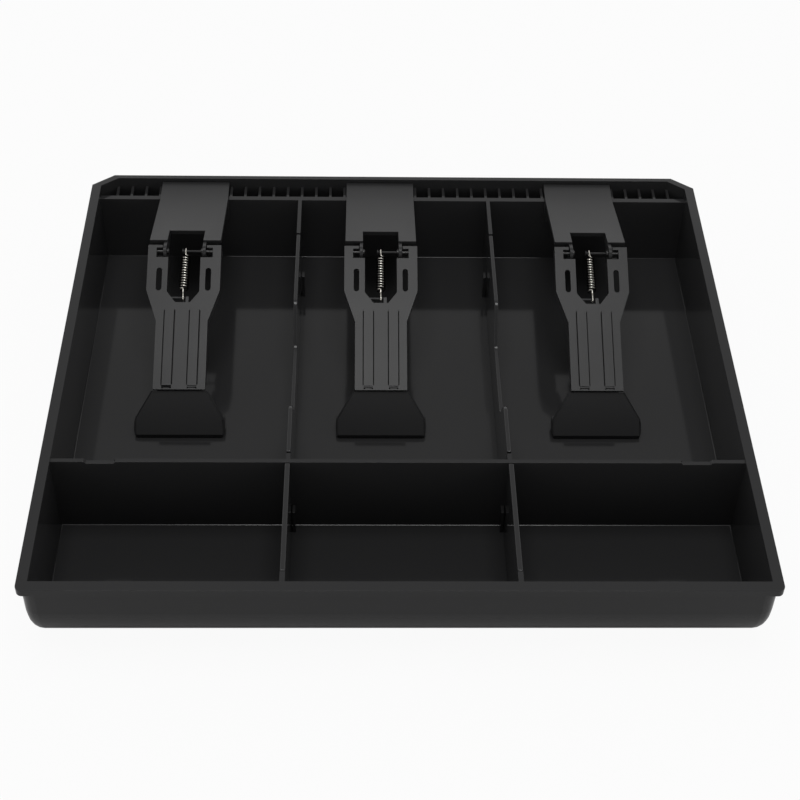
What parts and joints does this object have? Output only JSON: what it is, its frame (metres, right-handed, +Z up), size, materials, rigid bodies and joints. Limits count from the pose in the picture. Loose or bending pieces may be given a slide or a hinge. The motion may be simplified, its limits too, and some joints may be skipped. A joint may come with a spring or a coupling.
{
  "type": "cash register tray",
  "caption": "Shallow cash drawer insert: open bill bays behind a cross wall, scooped coin bays in front, lift-out dividers and spring-loaded bill clips indexed on a toothed rear rail.",
  "frame": {"origin": "on the resting plane, under the middle of the tray", "axes": "+X to the user's right along the rim, +Y away from the user towards the comb that carries the clips, +Z up"},
  "size_m": [0.28, 0.246, 0.0487],
  "materials": {
    "tray": "black injection-moulded plastic, satin to glossy",
    "clip": "black injection-moulded plastic, slightly rougher than the tray",
    "pin": "blackened turned steel",
    "spring": "bright spring wire"
  },
  "bodies": {
    "tray": {"tray_body": "tray", "clip_bracket_left": "clip", "clip_bracket_centre": "clip", "clip_bracket_right": "clip", "pivot_pin_left_left": "pin", "pivot_pin_left_right": "pin", "pivot_pin_centre_left": "pin", "pivot_pin_centre_right": "pin", "pivot_pin_right_left": "pin", "pivot_pin_right_right": "pin"},
    "arm_left": {"clip_arm_left": "clip", "clip_foot_left": "clip"},
    "arm_centre": {"clip_arm_centre": "clip", "clip_foot_centre": "clip"},
    "arm_right": {"clip_arm_right": "clip", "clip_foot_right": "clip"},
    "spring_left": {"clip_spring_left": "spring"},
    "spring_centre": {"clip_spring_centre": "spring"},
    "spring_right": {"clip_spring_right": "spring"},
    "bill_divider_body_left": {"bill_divider_left": "tray"},
    "bill_divider_body_right": {"bill_divider_right": "tray"},
    "coin_divider_body_left": {"coin_divider_left": "tray"},
    "coin_divider_body_right": {"coin_divider_right": "tray"}
  },
  "joints": [
    {"name": "clip_lift_left", "type": "hinge", "parent": "tray", "child": "arm_left", "pos_m": [-0.0924, 0.0609, 0.0457], "axis": [-1, 0, 0], "range_deg": [0, 100], "stiffness_Nm_per_rad": 0.02, "springref_deg": -28.65, "deforming": ["clip_spring_left"]},
    {"name": "spring_swing_left", "type": "hinge", "parent": "tray", "child": "spring_left", "pos_m": [-0.0924, 0.0646, 0.0427], "axis": [-1, 0, 0], "range_deg": [0, 85]},
    {"name": "clip_lift_centre", "type": "hinge", "parent": "tray", "child": "arm_centre", "pos_m": [-0.0066, 0.0609, 0.0457], "axis": [-1, 0, 0], "range_deg": [0, 100], "stiffness_Nm_per_rad": 0.02, "springref_deg": -28.65, "deforming": ["clip_spring_centre"]},
    {"name": "spring_swing_centre", "type": "hinge", "parent": "tray", "child": "spring_centre", "pos_m": [-0.0066, 0.0646, 0.0427], "axis": [-1, 0, 0], "range_deg": [0, 85]},
    {"name": "clip_lift_right", "type": "hinge", "parent": "tray", "child": "arm_right", "pos_m": [0.0858, 0.0609, 0.0457], "axis": [-1, 0, 0], "range_deg": [0, 100], "stiffness_Nm_per_rad": 0.02, "springref_deg": -28.65, "deforming": ["clip_spring_right"]},
    {"name": "spring_swing_right", "type": "hinge", "parent": "tray", "child": "spring_right", "pos_m": [0.0858, 0.0646, 0.0427], "axis": [-1, 0, 0], "range_deg": [0, 85]},
    {"name": "bill_divider_lift_left", "type": "slide", "parent": "tray", "child": "bill_divider_body_left", "axis": [0, 0, 1], "range_m": [0, 0.045]},
    {"name": "bill_divider_lift_right", "type": "slide", "parent": "tray", "child": "bill_divider_body_right", "axis": [0, 0, 1], "range_m": [0, 0.045]},
    {"name": "coin_divider_lift_left", "type": "slide", "parent": "tray", "child": "coin_divider_body_left", "axis": [0, 0, 1], "range_m": [0, 0.045]},
    {"name": "coin_divider_lift_right", "type": "slide", "parent": "tray", "child": "coin_divider_body_right", "axis": [0, 0, 1], "range_m": [0, 0.045]}
  ],
  "couplings": [
    {"joint": "spring_swing_left", "follows": "clip_lift_left", "ratio": 0.842},
    {"joint": "spring_swing_centre", "follows": "clip_lift_centre", "ratio": 0.842},
    {"joint": "spring_swing_right", "follows": "clip_lift_right", "ratio": 0.842}
  ]
}
